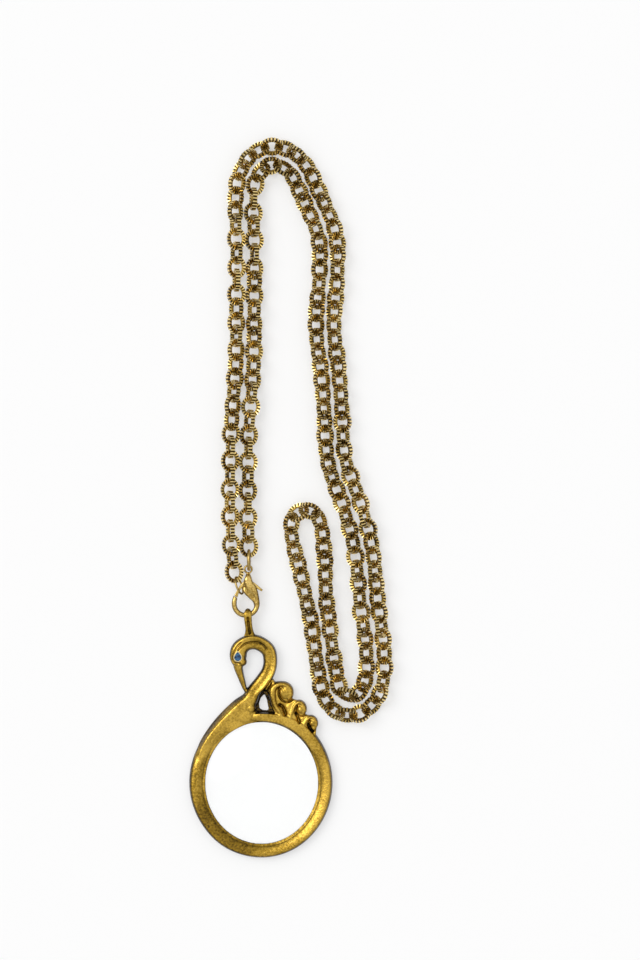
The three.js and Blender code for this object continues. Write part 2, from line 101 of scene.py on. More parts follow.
room = bpy.data.worlds.new("pale_room")
room.use_nodes = True
scene.world = room
walls = room.node_tree
direction = walls.nodes.new("ShaderNodeTexCoord")
height = walls.nodes.new("ShaderNodeSeparateXYZ")
ceiling = walls.nodes.new("ShaderNodeMapRange")
ceiling.inputs["To Min"].default_value = 0.24
ceiling.inputs["To Max"].default_value = 1.0
walls.links.new(direction.outputs["Generated"], height.inputs["Vector"])
walls.links.new(height.outputs["Z"], ceiling.inputs["Value"])
towards_window = walls.nodes.new("ShaderNodeVectorMath")
towards_window.operation = "DOT_PRODUCT"
towards_window.inputs[1].default_value = Vector((-0.68, 0.42, 1.0)).normalized()
walls.links.new(direction.outputs["Generated"], towards_window.inputs[0])
window = walls.nodes.new("ShaderNodeMapRange")
window.interpolation_type = "SMOOTHSTEP"
window.inputs["From Min"].default_value = 0.9
window.inputs["From Max"].default_value = 0.99
window.inputs["To Max"].default_value = 3.2
walls.links.new(towards_window.outputs["Value"], window.inputs["Value"])
brightness = walls.nodes.new("ShaderNodeMath")
brightness.operation = "ADD"
walls.links.new(ceiling.outputs["Result"], brightness.inputs[0])
walls.links.new(window.outputs["Result"], brightness.inputs[1])
walls.links.new(brightness.outputs["Value"], walls.nodes["Background"].inputs["Strength"])
walls.nodes["Background"].inputs["Color"].default_value = (1, 1, 1, 1)

# Swan casting: ring, breast, neck, head, beak and three curled feathers, cast in one piece of brass.
# It is plated in antique gold, dark with patina in the hollows; its colour is also painted lighter on
# faces that look up and darker on the flanks and low down, as painted light and shade. The lens is let in
# from the back.
opening = (16.9, 18.2)
lens_lip = 0.7
flange_height = 1.2
seat_gap = 0.3
lip_level = flange_height + seat_gap
rebate = lens_lip + seat_gap


def smooth_line(points, steps):
    """A spline through points of x, y and any sizes that go with them."""
    p = np.array(points, float)
    p = np.vstack([2 * p[0] - p[1], p, 2 * p[-1] - p[-2]])
    line = []
    for i in range(steps + 1):
        at = i / steps * (len(points) - 1)
        k = min(int(at), len(points) - 2)
        w = at - k
        a, b, c, d = p[k:k + 4]
        s, t, u = (np.linalg.norm(chord[:2]) ** 0.5 for chord in (b - a, c - b, d - c))
        leave = ((b - a) / s - (c - a) / (s + t) + (c - b) / t) * t
        arrive = ((c - b) / t - (d - b) / (t + u) + (d - c) / u) * t
        bend = 3 * (c - b) - 2 * leave - arrive
        twist = 2 * (b - c) + leave + arrive
        line.append(b + w * leave + w ** 2 * bend + w ** 3 * twist)
    return np.array(line)


def draw_bar(bm, rings):
    """A bar drawn out ring by ring: the first is capped, and the cap is pulled through the others."""
    cap = bm.faces.new([bm.verts.new(point) for point in rings[0]])
    for here, there in zip(rings, rings[1:]):
        pulled = bmesh.ops.extrude_face_region(bm, geom=[cap])["geom"]
        cap = next(part for part in pulled if isinstance(part, bmesh.types.BMFace))
        for vert in cap.verts:
            nearest = min(range(len(here)), key=lambda i: (Vector(here[i]) - vert.co).length_squared)
            vert.co = there[nearest]


def flat_bar(bm, stations, steps, section_at):
    """A bar lying on the table: stations are x, y, half width and crest height."""
    line = smooth_line(stations, steps)
    along = np.gradient(line[:, :2], axis=0)
    along /= np.linalg.norm(along, axis=1)[:, None]
    rings = []
    for i, ((x, y, width, crest), (ux, uy)) in enumerate(zip(line, along)):
        section = [(across * width, up * crest) for across, up in section_at(i / steps)]
        rings.append([(x - uy * across, y + ux * across, level) for across, level in section])
    draw_bar(bm, rings)


def on_oval(angle, outward):
    """A point so far outside the lens opening, at that angle round it."""
    c, s = math.cos(angle), math.sin(angle)
    facing = Vector((c / opening[0], s / opening[1])).normalized()
    return opening[0] * c + outward * facing.x, opening[1] * s + outward * facing.y


def turned(bm, outline, steps, closed):
    """An outline of radius and level, turned once round the upright axis."""
    profile = [bm.verts.new((radius, 0, level)) for radius, level in outline]
    for here, there in zip(profile, profile[1:] + profile[:1] if closed else profile[1:]):
        bm.edges.new((here, there))
    bmesh.ops.spin(
        bm, geom=bm.verts[:] + bm.edges[:], cent=(0, 0, 0), axis=(0, 0, 1), angle=2 * math.pi,
        steps=steps, use_merge=True)


bm = bmesh.new()
ring_bands = [4.4, 4.35, 3.05, 4.8, 4.9, 4.6, 4.3, 4.3]
ring_section = [
    (-1, 0), (-1, lip_level), (0, lip_level), (0, 2.0), (0.03, 2.1), (0.085, 2.1), (0.115, 1.85),
    (0.15, 1.9), (0.19, 2.22), (0.3, 2.54), (0.45, 2.83), (0.6, 2.98), (0.71, 3.06), (0.79, 3.1),
    (0.86, 2.98), (0.92, 2.6), (0.97, 1.9), (1, 1.1), (1, 0),
]
round_radius = 10
round_steps = 200
turned(bm, [(round_radius + outward, level) for outward, level in ring_section], round_steps, closed=True)
face_sink, face_from, face_rise = 0.28, 1.9, 1.2
edge_sink, edge_from = 0.4, 0.5
feather_level, feather_share = 3.06, 0.8
bead_to, edge_at = 0.1, 0.9
for vert in bm.verts:
    angle = math.atan2(vert.co.y, vert.co.x)
    degrees = math.degrees(angle)
    turn = (angle / (2 * math.pi)) % 1 * len(ring_bands)
    ease = 0.5 - 0.5 * math.cos(math.pi * (turn % 1))
    here, there = (ring_bands[int(turn + k) % len(ring_bands)] for k in (0, 1))
    band = here * (1 - ease) + there * ease
    outward = math.hypot(vert.co.x, vert.co.y) - round_radius
    under_breast = np.interp(degrees, (92, 108, 130, 150), (0, 1, 1, 0))
    beside_breast = np.interp(degrees % 360, (92, 110, 150, 205), (0, 1, 1, 0))
    below_feathers = np.interp(degrees, (15, 40, 88, 100), (0, 1, 1, 0))
    sink = edge_sink * beside_breast * max(outward - edge_from, 0) / (1 - edge_from)
    if outward > bead_to:
        sink += face_sink * under_breast * max(vert.co.z - face_from, 0) / face_rise
    level = 0
    if bead_to < outward < edge_at:
        level = feather_share * below_feathers * max(feather_level - vert.co.z, 0)
    x, y = on_oval(angle, rebate if outward < -0.5 else outward * band)
    vert.co = (x, y, vert.co.z * (1 - sink) + level)

neck_path = [
    (-18.6, 5.6, 1.8, 2.6), (-16.9, 9.7, 2.6, 3.0), (-14.0, 13.9, 3.1, 3.25),
    (-10.4, 17.9, 3.45, 3.4), (-6.2, 22.3, 3.2, 3.5), (-3.66, 25.02, 2.5, 3.5),
    (-2.16, 27.8, 2.1, 3.6), (0.1, 30.4, 2.2, 3.6), (2.1, 33.7, 2.1, 3.6), (2.6, 36.7, 2.1, 3.6),
    (2.0, 39.7, 2.15, 3.6), (0.0, 41.5, 2.2, 3.6), (-2.4, 42.3, 2.25, 3.6), (-5.0, 41.7, 2.3, 3.7),
    (-6.7, 40.0, 2.55, 3.8), (-7.1, 37.6, 2.5, 3.7), (-7.1, 35.7, 1.8, 3.1),
]
breast_section = [
    (-1, 0), (-1, 0.48), (-0.86, 0.5), (-0.72, 0.54), (-0.56, 0.64), (-0.38, 0.75), (-0.14, 0.85),
    (0.1, 0.92), (0.3, 0.98), (0.46, 1.0), (0.58, 0.95), (0.72, 0.7), (0.86, 0.38), (1, 0.18), (1, 0),
]
neck_section = [
    (-1, 0), (-1, 0.42), (-0.97, 0.66), (-0.9, 0.86), (-0.8, 0.97), (-0.66, 1.0), (-0.5, 0.96),
    (-0.34, 0.9), (-0.14, 0.87), (0.14, 0.86), (0.46, 0.84), (0.74, 0.76), (0.92, 0.58), (1, 0.38),
    (1, 0),
]
head_section = [
    (-1, 0), (-1, 0.45), (-0.95, 0.66), (-0.84, 0.82), (-0.68, 0.92), (-0.48, 0.97), (-0.24, 1.0),
    (0, 1.0), (0.24, 1.0), (0.48, 0.96), (0.68, 0.9), (0.84, 0.8), (0.95, 0.62), (1, 0.42), (1, 0),
]


def ease_in(value):
    """Nothing up to 0, all from 1, and a soft rise between them."""
    value = min(max(value, 0), 1)
    return value * value * (3 - 2 * value)


def blend(section, other, share):
    """A section part of the way from one to another."""
    return [(a + (c - a) * share, b + (d - b) * share) for (a, b), (c, d) in zip(section, other)]


def neck_shape(share):
    """The breast's crest is on the outer side. Going up it crosses over, and the head is evenly domed."""
    neck_from, neck_to, head_from, head_to = 0.12, 0.46, 0.76, 0.9
    rising = blend(breast_section, neck_section, ease_in((share - neck_from) / (neck_to - neck_from)))
    return blend(rising, head_section, ease_in((share - head_from) / (head_to - head_from)))


flat_bar(bm, neck_path, steps=150, section_at=neck_shape)
beak_path = [
    (-7.0, 36.8, 1.9, 3.0), (-7.0, 34.7, 1.4, 2.9), (-6.5, 32.7, 1.1, 2.6), (-5.7, 30.2, 0.87, 2.4),
    (-5.1, 28.3, 0.62, 2.2), (-4.75, 27.4, 0.42, 1.9),
]
beak_section = [
    (-1, 0), (-1, 0.42), (-0.9, 0.66), (-0.66, 0.82), (-0.3, 0.9), (0.1, 0.97), (0.42, 1.0),
    (0.68, 0.96), (0.88, 0.74), (1, 0.42), (1, 0),
]
flat_bar(bm, beak_path, steps=50, section_at=lambda share: beak_section)


def bud(bm, at, radii, crest):
    """A rounded boss that stands on the back of the casting."""
    made = bmesh.ops.create_icosphere(bm, subdivisions=4, radius=1)
    for vert in made["verts"]:
        x, y, z = vert.co
        vert.co = (at[0] + x * radii[0], at[1] + y * radii[1], crest / 2 + z * crest / 2)


bud(bm, (-5.9, 36.4), (1.5, 1.4), 3.65)
bud(bm, (-5.4, 20.7), (4.0, 3.2), 3.0)
bud(bm, (-3.3, 22.5), (1.6, 1.8), 3.3)
bud(bm, (-9.0, 17.3), (4.0, 2.8), 2.9)

feather_section = [
    (-1, 0), (-1, 0.56), (-0.9, 0.76), (-0.66, 0.91), (-0.3, 0.99), (0.05, 1.0), (0.4, 0.95),
    (0.74, 0.83), (0.94, 0.66), (1, 0.5), (1, 0),
]
feather_paths = [
    [(6.2, 19.0, 0.9, 2.9), (5.35, 21.2, 0.85, 3.1), (4.1, 23.2, 0.85, 3.2), (3.5, 25.1, 1.0, 3.3),
     (3.2, 26.8, 1.2, 3.4), (3.4, 28.3, 1.2, 3.4), (4.5, 29.4, 1.0, 3.4), (5.8, 29.7, 0.85, 3.4),
     (7.1, 29.5, 0.9, 3.45), (8.2, 28.6, 1.0, 3.45), (8.7, 27.3, 0.95, 3.4), (8.6, 26.0, 0.8, 3.3),
     (7.9, 25.2, 0.6, 3.1)],
    [(8.3, 19.0, 0.85, 2.9), (8.75, 20.6, 0.7, 3.0), (9.25, 21.9, 0.62, 3.1), (9.8, 23.1, 0.62, 3.2),
     (10.45, 23.95, 0.65, 3.2), (11.3, 24.3, 0.7, 3.25), (12.2, 23.8, 0.75, 3.25),
     (12.8, 22.8, 0.75, 3.2), (12.9, 21.7, 0.65, 3.1), (12.5, 20.95, 0.45, 3.0)],
    [(11.6, 15.9, 0.7, 2.9), (12.3, 17.1, 0.6, 3.0), (13.0, 18.2, 0.55, 3.0), (13.7, 19.2, 0.55, 3.1),
     (14.65, 19.8, 0.58, 3.1), (15.6, 19.5, 0.62, 3.1), (16.3, 18.5, 0.62, 3.1),
     (16.4, 17.4, 0.55, 3.0), (16.0, 16.6, 0.4, 2.8)],
    [(0.5, 19.9, 0.9, 2.8), (4.5, 19.9, 1.1, 3.05), (8.0, 19.1, 1.2, 3.1), (11.0, 17.2, 1.2, 3.1),
     (13.6, 14.8, 1.0, 3.0), (15.4, 12.0, 0.8, 2.7)],
    [(7.0, 23.2, 0.24, 2.3), (7.9, 23.6, 0.24, 2.6), (8.8, 24.2, 0.24, 2.7), (9.6, 24.85, 0.24, 2.6)],
    [(11.6, 19.1, 0.3, 2.3), (12.3, 19.7, 0.36, 2.6), (13.1, 20.15, 0.3, 2.6)],
    [(5.0, 28.0, 0.2, 2.7), (4.75, 26.8, 0.22, 2.8), (5.15, 25.2, 0.22, 2.8), (6.1, 24.2, 0.22, 2.7),
     (7.1, 23.3, 0.22, 2.6), (7.75, 22.1, 0.24, 2.6), (8.2, 20.8, 0.24, 2.6)],
]
for path in feather_paths:
    flat_bar(bm, path, steps=60, section_at=lambda share: feather_section)
bud(bm, (7.0, 27.3), (1.95, 2.25), 3.65)
bud(bm, (11.7, 22.2), (1.3, 1.5), 3.4)
bud(bm, (15.2, 18.1), (1.0, 1.2), 3.25)
feather_floors = [
    (2.55, [(2.5, 26.8), (3.4, 29.8), (5.8, 30.4), (8.2, 29.5), (9.3, 28.0), (9.1, 25.3),
            (10.9, 24.8), (12.7, 23.9), (13.5, 22.3), (13.0, 20.6), (14.8, 20.2), (16.3, 19.5),
            (16.8, 18.1), (16.4, 16.0), (16.3, 14.4), (15.0, 12.6), (8.9, 17.4), (5.2, 19.6),
            (3.6, 21.7), (2.7, 24.1)]),
    (1.2, [(0.2, 27.6), (1.0, 30.0), (2.2, 31.8), (3.7, 31.0), (4.4, 29.0), (3.0, 27.0), (1.9, 25.8),
           (0.8, 26.7)]),
    (2.7, [(1.0, 28.2), (1.8, 29.8), (2.6, 31.0), (3.6, 31.0), (4.2, 29.4), (3.0, 27.4), (2.2, 27.2)]),
    (0.7, [(2.05, 21.2), (2.0, 22.4), (1.5, 25.0), (0.8, 26.6), (2.2, 27.4), (3.4, 25.0), (4.6, 22.0),
           (4.0, 20.6)]),
    (0.7, [(-2.4, 23.6), (-0.3, 27.0), (0.8, 27.8), (0.8, 26.6), (-0.25, 25.5), (-0.8, 23.8),
           (-0.65, 22.2), (-2.0, 22.0)]),
    (0.7, [(-3.2, 22.0), (-1.6, 24.5), (-0.7, 22.4), (0.2, 21.85), (2.1, 21.7), (3.6, 20.8),
           (2.0, 18.4), (-3.0, 18.6)]),
    (2.75, [(7.6, 23.2), (9.6, 24.9), (10.5, 24.6), (9.5, 22.9), (8.7, 21.2), (8.0, 20.8)]),
    (2.75, [(11.8, 19.5), (13.1, 20.3), (13.8, 20.0), (13.1, 18.6), (12.2, 18.1)]),
]
for level, outline in feather_floors:
    draw_bar(bm, [[(x, y, 0) for x, y in outline], [(x, y, level) for x, y in outline]])
bmesh.ops.recalc_face_normals(bm, faces=bm.faces)


def loose_object(name, bm):
    """A bmesh drawn in millimetres, made an object in metres."""
    bmesh.ops.scale(bm, vec=(MM, MM, MM), verts=bm.verts)
    mesh = bpy.data.meshes.new(name)
    bm.to_mesh(mesh)
    bm.free()
    made = bpy.data.objects.new(name, mesh)
    scene.collection.objects.link(made)
    return made


def settle(made):
    """Makes an object's modifiers part of its mesh."""
    bpy.context.view_layer.update()
    finished = made.evaluated_get(bpy.context.evaluated_depsgraph_get())
    mesh = bpy.data.meshes.new_from_object(finished)
    made.modifiers.clear()
    made.data = mesh


def cast(made, grain, rounding, cutter=None):
    """Fuses the shells of a casting at that grain, cuts it if asked, and rounds its edges off."""
    made.modifiers.new("fuse", "REMESH").voxel_size = grain * MM
    if cutter:
        cut = made.modifiers.new("cut", "BOOLEAN")
        cut.operation = "DIFFERENCE"
        cut.solver = "EXACT"
        cut.object = cutter
        made.modifiers.new("refuse", "REMESH").voxel_size = grain * MM
    ease = made.modifiers.new("ease", "SMOOTH")
    ease.factor = 0.5
    ease.iterations = rounding
    settle(made)
    if cutter:
        bpy.data.objects.remove(cutter)
    made.data.polygons.foreach_set("use_smooth", [True] * len(made.data.polygons))
    return made


lens_room = bmesh.new()
room_bottom, room_top, room_play = -1, 6, 0.02
room_radius = round_radius + rebate
room_outline = [
    (0, room_bottom), (room_radius, room_bottom), (room_radius, lip_level), (round_radius, lip_level),
    (round_radius, room_top), (0, room_top),
]
turned(lens_room, room_outline, round_steps, closed=False)
merge_gap = 0.001
bmesh.ops.remove_doubles(lens_room, verts=lens_room.verts, dist=merge_gap)
for vert in lens_room.verts:
    radius = math.hypot(vert.co.x, vert.co.y)
    if radius > merge_gap:
        angle = math.atan2(vert.co.y, vert.co.x)
        vert.co.x, vert.co.y = on_oval(angle, radius - round_radius - room_play)
bmesh.ops.recalc_face_normals(lens_room, faces=lens_room.faces)
room_cutter = loose_object("lens_room_cutter", lens_room)
swan = cast(loose_object("swan_casting", bm), grain=0.19, rounding=3, cutter=room_cutter)


def vertex_table(mesh, name):
    """One three-number property of all vertices, as an array."""
    table = np.empty(len(mesh.vertices) * 3)
    mesh.vertices.foreach_get(name, table)
    return table.reshape(-1, 3)


def engrave(made, lines, above=0.8):
    """Presses soft grooves into the upper face, each given as half width, depth and points."""
    place = vertex_table(made.data, "co") / MM
    for half_width, depth, points in lines:
        line = smooth_line(points, 8 * len(points))
        reach = 3 * half_width
        low, high = line.min(axis=0) - reach, line.max(axis=0) + reach
        beside = np.all((place[:, :2] > low) & (place[:, :2] < high), axis=1)
        near = np.flatnonzero((place[:, 2] > above) & beside)
        gap = np.full(len(near), np.inf)
        for here, there in zip(line, line[1:]):
            way = there - here
            at = np.clip(((place[near, :2] - here) @ way) / (way @ way), 0, 1)
            gap = np.minimum(gap, np.linalg.norm(place[near, :2] - here - at[:, None] * way, axis=1))
        place[near, 2] -= depth * np.exp(-(gap / half_width) ** 2)
    made.data.vertices.foreach_set("co", (place * MM).ravel())
    made.data.update()


eye_at = (-7.1, 37.8)


def drop_line(radius, tip, sides):
    """The outline of a drop round the eye, its point towards the crown of the head."""
    line = []
    narrowing = 0.35
    for k in range(sides):
        x, y = math.cos(2 * math.pi * k / sides), math.sin(2 * math.pi * k / sides)
        pull = max(y, 0) ** 3
        across = radius * x * (1 - narrowing * pull)
        line.append((eye_at[0] + across, eye_at[1] + radius * y + (tip - radius) * pull))
    return line


engrave(swan, [
    (0.24, 0.45, [(-7.05, 39.95), (-6.5, 40.5), (-5.7, 41.3), (-4.5, 42.0), (-2.9, 42.3),
                  (-1.1, 42.2), (0.4, 41.5), (1.5, 40.2)]),
    (0.24, 0.45, [(-6.6, 35.95), (-7.6, 36.0), (-8.4, 36.5), (-8.78, 37.4), (-8.7, 38.5),
                  (-8.0, 39.85), (-7.3, 41.0), (-6.2, 42.1)]),
    (0.5, 0.7, [(1.3, 28.0), (1.9, 29.2), (2.5, 30.1)]),
    (0.2, 0.7, [(5.35, 28.6), (5.1, 27.4), (5.3, 26.0), (6.1, 24.9), (7.2, 24.35), (8.4, 24.45),
                (9.3, 25.0)]),
    (0.5, 0.3, [(5.9, 28.9), (6.8, 27.4), (7.1, 26.2)]),
    (0.4, 1.0, [(5.5, 23.5), (6.3, 22.9), (6.8, 21.9), (7.2, 20.7)]),
    (0.19, 0.6, [(10.6, 23.4), (10.2, 22.2), (10.5, 20.85), (11.4, 20.15), (12.4, 20.2), (13.3, 20.6)]),
    (0.36, 1.0, [(10.3, 20.9), (10.9, 19.6), (11.3, 18.2)]),
    (0.18, 0.55, [(14.45, 18.8), (14.0, 17.7), (14.3, 16.5), (15.4, 15.6), (16.1, 15.9)]),
    (0.3, 0.9, [(14.0, 17.6), (14.7, 16.4), (15.3, 15.5)]),
])


def fade(value, none, full):
    """Nothing at one value, all at the other, and a straight rise between them."""
    return np.clip((value - none) / (full - none), 0, 1)


def paint_patina_light_and_shade(made, flank, hollow, sunk=0.0, painted_shading=0.0):
    """Paints a brightness attribute: full on faces that look up, painted shade on the flanks, dark patina
    in hollows, darker low down, less the painted shading it is given.
    """
    steep, level = 0.32, 0.84
    sunk_reach, sunk_loss = 1.2, 0.85
    mesh = made.data
    place = vertex_table(mesh, "co") / MM
    facing = vertex_table(mesh, "normal")
    ends = np.empty(len(mesh.edges) * 2, int)
    mesh.edges.foreach_get("vertices", ends)
    start, end = ends.reshape(-1, 2).T
    around = np.zeros(len(place))
    reach = np.zeros((len(place), 3))
    for near, far in ((start, end), (end, start)):
        np.add.at(around, near, 1)
        np.add.at(reach, near, place[far] - place[near])
    around = np.maximum(around, 1)
    dent = np.einsum("ij,ij->i", reach / around[:, None], facing)
    for _ in range(3):
        total = np.zeros(len(place))
        np.add.at(total, start, dent[end])
        np.add.at(total, end, dent[start])
        dent = 0.5 * dent + 0.5 * total / around
    # Painted light and shade: faces that look up are painted lighter, steep flanks darker.
    open_face = fade(np.abs(facing[:, 2]), steep, level)
    low = fade(place[:, 2], sunk, sunk - sunk_reach) * (facing[:, 2] > -0.5)
    # Dents take dark patina. The painted shading given is taken off, so a negative share paints light.
    patina_and_painted_light = (flank + (1 - flank) * open_face) * (1 - sunk_loss * low) - hollow * dent - painted_shading
    patina_and_painted_light = np.clip(patina_and_painted_light, 0, 1).astype(np.float32)
    mesh.attributes.new("patina_and_painted_light", "FLOAT", "POINT").data.foreach_set("value", patina_and_painted_light)


east, north, up = vertex_table(swan.data, "co").T / MM
# Painted light and shade on the ring: darker towards the bottom and lower left, lighter to the right.
ring_painted_shading = 0.23 * fade(north, 14, 2) - 0.12 * fade(east, 0, 18)
ring_painted_shading += 0.16 * fade(north, 0, -18) * fade(east, 14, 0)
# Painted shade on the neck: its faces below the crest are painted darker.
on_neck = fade(north, 22, 27) * ((east < 1.2) | (north > 31))
on_neck *= (east > -4.4) | (north < 26.5) | (north > 37)
neck_painted_shade = 0.32 * on_neck * fade(up, 3.45, 3.1)
# Painted light: the feathers and the left of the breast are painted lighter.
painted_light_patches = 0.1 * (north > 18) * (east > 2)
painted_light_patches += 0.16 * fade(north, 6, 10) * (north < 27) * (east < -3)
paint_patina_light_and_shade(swan, flank=0.12, hollow=6.5, sunk=2.0, painted_shading=ring_painted_shading + neck_painted_shade - painted_light_patches)


def plating(name, dark, middle, bright, roughness, grain_depth, grain_size=0.25):
    """Plated brass: bright where the patina and painted light attribute is high, dark where it is low,
    with random mottle and stains, finely grained.
    """
    material = bpy.data.materials.new(name)
    material.use_nodes = True
    tree = material.node_tree
    place = tree.nodes.new("ShaderNodeTexCoord")

    def noise(scale, detail):
        made = tree.nodes.new("ShaderNodeTexNoise")
        made.inputs["Scale"].default_value = scale
        made.inputs["Detail"].default_value = detail
        tree.links.new(place.outputs["Object"], made.inputs["Vector"])
        return made

    def mapped(source, *limits):
        made = tree.nodes.new("ShaderNodeMapRange")
        for socket, limit in zip(("From Min", "From Max", "To Min", "To Max"), limits):
            made.inputs[socket].default_value = limit
        tree.links.new(source, made.inputs["Value"])
        return made.outputs["Result"]

    def added(one, other):
        made = tree.nodes.new("ShaderNodeMath")
        made.operation = "ADD"
        tree.links.new(one, made.inputs[0])
        tree.links.new(other, made.inputs[1])
        return made

    patina_and_painted_light = tree.nodes.new("ShaderNodeAttribute")
    patina_and_painted_light.attribute_name = "patina_and_painted_light"
    mottle = noise(0.5 / (grain_size * MM), 6)
    mottle.inputs["Roughness"].default_value = 0.65
    # The attribute holds dark patina and painted light and shade. The mottle and stains added to it are
    # random.
    patina_light_and_mottle = added(patina_and_painted_light.outputs["Fac"], mapped(mottle.outputs["Fac"], 0.3, 0.7, -0.42, 0.3))
    stain = noise(160, 3)
    patina_light_mottle_and_stains = added(patina_light_and_mottle.outputs["Value"], mapped(stain.outputs["Fac"], 0.35, 0.65, -0.3, 0.05))
    patina_light_mottle_and_stains.use_clamp = True
    tint = tree.nodes.new("ShaderNodeValToRGB")
    tint.color_ramp.elements[0].color = (*dark, 1)
    tint.color_ramp.elements[1].color = (*bright, 1)
    tint.color_ramp.elements.new(0.5).color = (*middle, 1)
    tree.links.new(patina_light_mottle_and_stains.outputs["Value"], tint.inputs["Fac"])
    gloss = mapped(patina_light_mottle_and_stains.outputs["Value"], 0, 1, roughness + 0.2, roughness)
    relief = tree.nodes.new("ShaderNodeBump")
    relief.inputs["Strength"].default_value = 1.0
    relief.inputs["Distance"].default_value = grain_depth * MM
    tree.links.new(noise(1 / (grain_size * MM), 3).outputs["Fac"], relief.inputs["Height"])
    shader = tree.nodes["Principled BSDF"]
    shader.inputs["Metallic"].default_value = 1.0
    shader.inputs["Coat Weight"].default_value = 0.2
    shader.inputs["Coat Roughness"].default_value = 0.15
    tree.links.new(tint.outputs["Color"], shader.inputs["Base Color"])
    tree.links.new(gloss, shader.inputs["Roughness"])
    tree.links.new(relief.outputs["Normal"], shader.inputs["Normal"])
    return material


antique_gold = plating(
    "antique_gold", dark=(0.022, 0.012, 0.002), middle=(0.29, 0.170, 0.013), bright=(0.63, 0.40, 0.06),
    roughness=0.19, grain_depth=0.06, grain_size=0.3)


def dress(made, material, body, slot, *nodes):
    """Gives a piece its finish and its place on the necklace."""
    made.data.materials.clear()
    made.data.materials.append(material)
    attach(made, body)
    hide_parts(*nodes)


dress(swan, antique_gold, "pendant", "antique_gold", "swan_frame")

# Lens: a reading glass ground flat at the back and domed in front, of clear crown glass. A thin flange
# round its edge lies under the lip of the ring.
bm = bmesh.new()
lens_radius = opening[0] + lens_lip
dome_radius = opening[0] - seat_gap
dome_height = 2.8
dome_steps = 14
edge_bevel = 0.1
lens_outline = [
    (0, 0), (lens_radius - edge_bevel, 0), (lens_radius, edge_bevel), (lens_radius, flange_height),
]
for k in range(dome_steps + 1):
    share = 1 - k / dome_steps
    lens_outline.append((dome_radius * share, flange_height + dome_height * (1 - share ** 2)))
turned(bm, lens_outline, steps=128, closed=False)
bmesh.ops.remove_doubles(bm, verts=bm.verts, dist=merge_gap)
bmesh.ops.scale(bm, vec=(1, (opening[1] + lens_lip) / lens_radius, 1), verts=bm.verts)
bmesh.ops.recalc_face_normals(bm, faces=bm.faces)
lens = loose_object("lens_glass", bm)
for face in lens.data.polygons:
    face.use_smooth = face.center.z > (flange_height + 0.01) * MM
crown_glass = bpy.data.materials.new("crown_glass")
crown_glass.use_nodes = True
pane = crown_glass.node_tree
glass = pane.nodes["Principled BSDF"]
glass.inputs["Base Color"].default_value = (0.985, 0.992, 0.99, 1)
glass.inputs["IOR"].default_value = 1.5
glass.inputs["Transmission Weight"].default_value = 1.0
smudges = pane.nodes.new("ShaderNodeTexNoise")
smudges.inputs["Scale"].default_value = 140
smudges.inputs["Detail"].default_value = 4
touched = pane.nodes.new("ShaderNodeTexCoord")
pane.links.new(touched.outputs["Object"], smudges.inputs["Vector"])
smear = pane.nodes.new("ShaderNodeMapRange")
smear.inputs["From Min"].default_value = 0.5
smear.inputs["From Max"].default_value = 0.8
smear.inputs["To Max"].default_value = 0.05
pane.links.new(smudges.outputs["Fac"], smear.inputs["Value"])
pane.links.new(smear.outputs["Result"], glass.inputs["Roughness"])
light_path = pane.nodes.new("ShaderNodeLightPath")
clear = pane.nodes.new("ShaderNodeBsdfTransparent")
see_through = pane.nodes.new("ShaderNodeMixShader")
pane.links.new(light_path.outputs["Is Shadow Ray"], see_through.inputs["Fac"])
pane.links.new(glass.outputs["BSDF"], see_through.inputs[1])
pane.links.new(clear.outputs["BSDF"], see_through.inputs[2])
pane.links.new(see_through.outputs["Shader"], pane.nodes["Material Output"].inputs["Surface"])
dress(lens, crown_glass, "pendant", "clear_glass", "lens")

# Eye: a drop of blue glass, cut with a flat top and sloped sides. It is set into the swan's head, where a
# thin collar of bright metal holds it round the edge.
socket_level = 2.9


def lift(bm, faces, height):
    """Pulls faces up into a wall of that height, and gives the faces that end up on top."""
    pulled = bmesh.ops.extrude_face_region(bm, geom=faces)["geom"]
    raised = [part for part in pulled if isinstance(part, bmesh.types.BMVert)]
    bmesh.ops.translate(bm, vec=(0, 0, height), verts=raised)
    return [part for part in pulled if isinstance(part, bmesh.types.BMFace)]


bm = bmesh.new()
stone_line = drop_line(radius=1.05, tip=1.6, sides=12)
face = bm.faces.new([bm.verts.new((x, y, socket_level)) for x, y in stone_line])
table_facet = lift(bm, [face], height=1.05)
bm.normal_update()
bmesh.ops.inset_region(bm, faces=table_facet, thickness=0.38, depth=0.25)
bmesh.ops.recalc_face_normals(bm, faces=bm.faces)
gem = loose_object("eye_gem", bm)
blue_glass = bpy.data.materials.new("blue_glass")
blue_glass.use_nodes = True
stone = blue_glass.node_tree
gem_shader = stone.nodes["Principled BSDF"]
gem_shader.inputs["Roughness"].default_value = 0.06
gem_shader.inputs["IOR"].default_value = 1.5
depth = stone.nodes.new("ShaderNodeTexNoise")
depth.inputs["Scale"].default_value = 900
place = stone.nodes.new("ShaderNodeTexCoord")
blues = stone.nodes.new("ShaderNodeValToRGB")
blues.color_ramp.elements[0].position = 0.35
blues.color_ramp.elements[0].color = (0.002, 0.012, 0.05, 1)
blues.color_ramp.elements[1].position = 0.65
blues.color_ramp.elements[1].color = (0.05, 0.2, 0.42, 1)
stone.links.new(place.outputs["Object"], depth.inputs["Vector"])
stone.links.new(depth.outputs["Fac"], blues.inputs["Fac"])
stone.links.new(blues.outputs["Color"], gem_shader.inputs["Base Color"])
dress(gem, blue_glass, "pendant", "blue_glass", "eye_stone")
bm = bmesh.new()
collar_line = drop_line(radius=1.28, tip=1.95, sides=24)
face = bm.faces.new([bm.verts.new((x, y, socket_level)) for x, y in collar_line])
bm.normal_update()
bmesh.ops.inset_region(bm, faces=[face], use_boundary=True, use_even_offset=True, thickness=0.23)
bmesh.ops.delete(bm, geom=[max(bm.faces, key=lambda f: f.calc_area())], context="FACES")
lift(bm, bm.faces[:], height=1.15)
